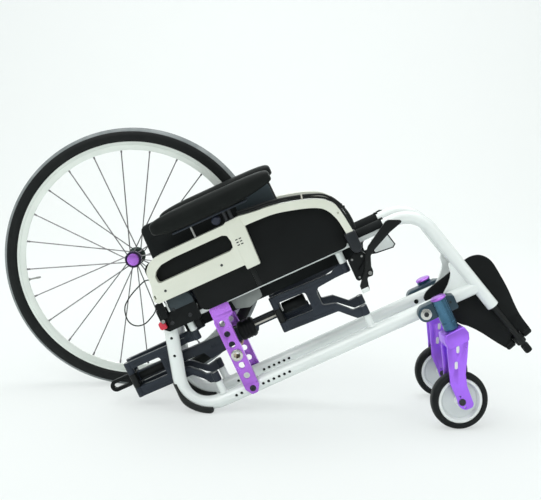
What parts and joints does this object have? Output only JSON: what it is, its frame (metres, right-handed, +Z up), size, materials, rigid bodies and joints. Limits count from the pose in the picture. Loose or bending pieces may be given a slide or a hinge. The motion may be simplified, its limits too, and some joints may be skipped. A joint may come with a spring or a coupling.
{
  "type": "wheelchair",
  "caption": "Folding active wheelchair, folded and with its backrest laid forward, standing on its bumpers and casters with a removed rear wheel beside it.",
  "frame": {"origin": "on the floor, under the centre of the bounding box", "axes": "+X towards the footrests, +Y towards the chair's left side and the removed wheel, +Z up from the floor"},
  "size_m": [1.1926, 0.327, 0.6081],
  "materials": {
    "pearl_white": "gloss pearl paint",
    "purple_anodised": "satin purple anodising",
    "slate_metal": "satin slate grey",
    "black_metal": "satin black",
    "black_plastic": "matt",
    "slate_plastic": "matt",
    "black_rubber": "matt",
    "pad_foam": "soft foam skin",
    "black_cloth": "woven",
    "tyre_rubber": "matt",
    "steel": "brushed",
    "pale_alloy": "satin",
    "dark_anodised": "satin",
    "red_plastic": "gloss"
  },
  "bodies": {
    "right_side": {"right_side_frame": "pearl_white", "right_bumper": "black_rubber", "right_axle_plate": "purple_anodised", "right_axle_sleeve": "steel", "right_caster_housing": "slate_metal", "right_armrest_socket": "slate_plastic", "right_backrest_bracket": "black_metal", "right_brake_body": "black_plastic", "backrest_release_cord": "black_plastic"},
    "right_fork": {"right_caster_fork": "purple_anodised"},
    "right_caster_wheel": {"right_caster_tyre": "tyre_rubber", "right_caster_rim": "pale_alloy"},
    "right_hanger": {"right_footrest_hanger": "black_metal"},
    "right_plate": {"right_footplate": "black_plastic"},
    "right_armrest": {"right_armrest_frame": "pearl_white", "right_armrest_guard": "black_plastic", "right_armrest_pad": "pad_foam", "right_brake_cable": "black_plastic"},
    "right_button": {"right_release_button": "red_plastic"},
    "right_post": {"right_backrest_post": "slate_metal"},
    "right_back_panel": {"right_backrest_panel": "black_cloth"},
    "right_seat_outer": {"right_seat_panel_outer": "black_cloth"},
    "right_seat_middle": {"right_seat_panel_middle": "black_cloth"},
    "right_seat_inner": {"right_seat_panel_inner": "black_cloth"},
    "right_lever": {"right_brake_lever": "slate_metal"},
    "right_front_arm": {"right_front_fold_arm": "slate_metal"},
    "right_rear_arm": {"right_rear_fold_arm": "slate_metal"},
    "left_side": {"left_side_frame": "pearl_white", "left_bumper": "black_rubber", "left_axle_plate": "purple_anodised", "left_axle_sleeve": "steel", "left_caster_housing": "slate_metal", "left_armrest_socket": "slate_plastic", "left_backrest_bracket": "black_metal", "left_brake_body": "black_plastic", "wheel_axle_pin": "steel"},
    "left_fork": {"left_caster_fork": "purple_anodised"},
    "left_caster_wheel": {"left_caster_tyre": "tyre_rubber", "left_caster_rim": "pale_alloy"},
    "left_hanger": {"left_footrest_hanger": "black_metal"},
    "left_plate": {"left_footplate": "black_plastic"},
    "left_armrest": {"left_armrest_frame": "pearl_white", "left_armrest_guard": "black_plastic", "left_armrest_pad": "pad_foam", "left_brake_cable": "black_plastic"},
    "left_button": {"left_release_button": "red_plastic"},
    "left_post": {"left_backrest_post": "slate_metal"},
    "left_back_panel": {"left_backrest_panel": "black_cloth"},
    "left_seat_outer": {"left_seat_panel_outer": "black_cloth"},
    "left_seat_middle": {"left_seat_panel_middle": "black_cloth"},
    "left_seat_inner": {"left_seat_panel_inner": "black_cloth"},
    "left_lever": {"left_brake_lever": "slate_metal"},
    "left_front_arm": {"left_front_fold_arm": "slate_metal"},
    "left_rear_arm": {"left_rear_fold_arm": "slate_metal"},
    "spine": {"fold_spine": "slate_metal", "fold_pull_loop": "black_plastic"},
    "rear_wheel": {"wheel_tyre": "tyre_rubber", "wheel_rim": "pale_alloy", "wheel_hub_and_spokes": "dark_anodised"},
    "wheel_cap": {"wheel_release_cap": "purple_anodised"}
  },
  "joints": [
    {"name": "fold", "type": "hinge", "parent": "right_side", "child": "right_front_arm", "pos_m": [0.20857, -0.08651, 0.2778], "axis": [0.4393, 0, -0.8983], "range_deg": [0, 80]},
    {"name": "spine_turn", "type": "hinge", "parent": "right_front_arm", "child": "spine", "pos_m": [0.04874, -0.056, 0.21077], "axis": [0.4393, 0, -0.8983], "range_deg": [-80, 0]},
    {"name": "left_front_arm_turn", "type": "hinge", "parent": "spine", "child": "left_front_arm", "pos_m": [0.04874, -0.022, 0.21077], "axis": [-0.4393, 0, 0.8983], "range_deg": [0, 80]},
    {"name": "left_side_turn", "type": "hinge", "parent": "left_front_arm", "child": "left_side", "pos_m": [0.20857, 0.00851, 0.2778], "axis": [-0.4393, 0, 0.8983], "range_deg": [-80, 0]},
    {"name": "right_rear_arm_turn", "type": "hinge", "parent": "right_side", "child": "right_rear_arm", "pos_m": [-0.10701, -0.08651, 0.12347], "axis": [0.4393, 0, -0.8983], "range_deg": [0, 80]},
    {"name": "left_rear_arm_turn", "type": "hinge", "parent": "spine", "child": "left_rear_arm", "pos_m": [-0.26684, -0.022, 0.05643], "axis": [-0.4393, 0, 0.8983], "range_deg": [0, 80]},
    {"name": "right_seat_outer_turn", "type": "hinge", "parent": "right_side", "child": "right_seat_outer", "pos_m": [-0.10295, -0.06951, 0.25013], "axis": [0.8983, 0, 0.4393], "range_deg": [0, 80]},
    {"name": "right_seat_middle_turn", "type": "hinge", "parent": "right_seat_outer", "child": "right_seat_middle", "pos_m": [-0.07872, -0.05978, 0.20059], "axis": [0.8983, 0, 0.4393], "range_deg": [-160, 0]},
    {"name": "right_seat_inner_turn", "type": "hinge", "parent": "right_seat_middle", "child": "right_seat_inner", "pos_m": [-0.11506, -0.0452, 0.2749], "axis": [0.8983, 0, 0.4393], "range_deg": [0, 160]},
    {"name": "right_back_panel_turn", "type": "hinge", "parent": "right_post", "child": "right_back_panel", "pos_m": [-0.11459, -0.06951, 0.27394], "axis": [0.8983, 0, 0.4393], "range_deg": [-80, 0]},
    {"name": "right_plate_turn", "type": "hinge", "parent": "right_hanger", "child": "right_plate", "pos_m": [0.56702, -0.06601, 0.17536], "axis": [-0.7342, 0, -0.6789], "range_deg": [0, 90]},
    {"name": "backrest_raise", "type": "hinge", "parent": "right_side", "child": "right_post", "pos_m": [-0.17757, -0.08651, 0.232], "axis": [0, -1, 0], "range_deg": [0, 95]},
    {"name": "right_armrest_flip", "type": "hinge", "parent": "right_side", "child": "right_armrest", "pos_m": [-0.19723, -0.08651, 0.20847], "axis": [0, -1, 0], "range_deg": [0, 100]},
    {"name": "right_hanger_slide", "type": "slide", "parent": "right_side", "child": "right_hanger", "axis": [0.6489, 0, -0.7608], "range_m": [0, 0.03]},
    {"name": "right_caster_swivel", "type": "hinge", "parent": "right_side", "child": "right_fork", "pos_m": [0.3868, -0.13151, 0.25365], "axis": [-0.4393, 0, 0.8983], "continuous": true},
    {"name": "right_caster_spin", "type": "hinge", "parent": "right_fork", "child": "right_caster_wheel", "pos_m": [0.42793, -0.1382, 0.06114], "axis": [-0.125, 0.9903, -0.0611], "continuous": true},
    {"name": "right_brake_turn", "type": "hinge", "parent": "right_side", "child": "right_lever", "pos_m": [0.23424, -0.08651, 0.3232], "axis": [0, 1, 0], "range_deg": [0, 22]},
    {"name": "right_button_press", "type": "slide", "parent": "right_side", "child": "right_button", "axis": [0.8983, 0, 0.4393], "range_m": [0, 0.004], "stiffness_N_per_m": 300},
    {"name": "left_seat_outer_turn", "type": "hinge", "parent": "left_side", "child": "left_seat_outer", "pos_m": [-0.10295, -0.00849, 0.25013], "axis": [-0.8983, 0, -0.4393], "range_deg": [0, 80]},
    {"name": "left_seat_middle_turn", "type": "hinge", "parent": "left_seat_outer", "child": "left_seat_middle", "pos_m": [-0.07872, -0.01821, 0.20059], "axis": [-0.8983, 0, -0.4393], "range_deg": [-160, 0]},
    {"name": "left_seat_inner_turn", "type": "hinge", "parent": "left_seat_middle", "child": "left_seat_inner", "pos_m": [-0.11506, -0.0328, 0.2749], "axis": [-0.8983, 0, -0.4393], "range_deg": [0, 160]},
    {"name": "left_back_panel_turn", "type": "hinge", "parent": "left_post", "child": "left_back_panel", "pos_m": [-0.11459, -0.00849, 0.27394], "axis": [-0.8983, 0, -0.4393], "range_deg": [-80, 0]},
    {"name": "left_plate_turn", "type": "hinge", "parent": "left_hanger", "child": "left_plate", "pos_m": [0.56702, -0.01199, 0.17536], "axis": [0.7342, 0, 0.6789], "range_deg": [0, 90]},
    {"name": "left_post_turn", "type": "hinge", "parent": "left_side", "child": "left_post", "pos_m": [-0.17757, 0.00851, 0.232], "axis": [0, -1, 0], "range_deg": [0, 95]},
    {"name": "left_armrest_flip", "type": "hinge", "parent": "left_side", "child": "left_armrest", "pos_m": [-0.19723, 0.00851, 0.20847], "axis": [0, -1, 0], "range_deg": [0, 100]},
    {"name": "left_hanger_slide", "type": "slide", "parent": "left_side", "child": "left_hanger", "axis": [0.6489, 0, -0.7608], "range_m": [0, 0.03]},
    {"name": "left_caster_swivel", "type": "hinge", "parent": "left_side", "child": "left_fork", "pos_m": [0.3868, 0.05351, 0.25365], "axis": [-0.4393, 0, 0.8983], "continuous": true},
    {"name": "left_caster_spin", "type": "hinge", "parent": "left_fork", "child": "left_caster_wheel", "pos_m": [0.42751, 0.05351, 0.06094], "axis": [0, 1, 0], "continuous": true},
    {"name": "left_brake_turn", "type": "hinge", "parent": "left_side", "child": "left_lever", "pos_m": [0.23424, 0.00851, 0.3232], "axis": [0, 1, 0], "range_deg": [0, 22]},
    {"name": "left_button_press", "type": "slide", "parent": "left_side", "child": "left_button", "axis": [0.8983, 0, 0.4393], "range_m": [0, 0.004], "stiffness_N_per_m": 300},
    {"name": "rear_wheel_spin", "type": "hinge", "parent": "left_side", "child": "rear_wheel", "pos_m": [-0.29281, 0.08351, 0.30414], "axis": [0, 1, 0], "continuous": true},
    {"name": "wheel_cap_press", "type": "slide", "parent": "left_side", "child": "wheel_cap", "axis": [0, 1, 0], "range_m": [0, 0.003], "stiffness_N_per_m": 300}
  ],
  "couplings": [
    {"joint": "spine_turn", "follows": "fold", "ratio": -1},
    {"joint": "left_front_arm_turn", "follows": "fold", "ratio": 1},
    {"joint": "left_side_turn", "follows": "fold", "ratio": -1},
    {"joint": "right_rear_arm_turn", "follows": "fold", "ratio": 1},
    {"joint": "left_rear_arm_turn", "follows": "fold", "ratio": 1},
    {"joint": "right_seat_outer_turn", "follows": "fold", "ratio": 1},
    {"joint": "right_seat_middle_turn", "follows": "fold", "ratio": -2},
    {"joint": "right_seat_inner_turn", "follows": "fold", "ratio": 2},
    {"joint": "right_back_panel_turn", "follows": "fold", "ratio": -1},
    {"joint": "right_plate_turn", "follows": "fold", "ratio": 1.125},
    {"joint": "left_seat_outer_turn", "follows": "fold", "ratio": 1},
    {"joint": "left_seat_middle_turn", "follows": "fold", "ratio": -2},
    {"joint": "left_seat_inner_turn", "follows": "fold", "ratio": 2},
    {"joint": "left_back_panel_turn", "follows": "fold", "ratio": -1},
    {"joint": "left_plate_turn", "follows": "fold", "ratio": 1.125},
    {"joint": "left_post_turn", "follows": "backrest_raise", "ratio": 1}
  ]
}
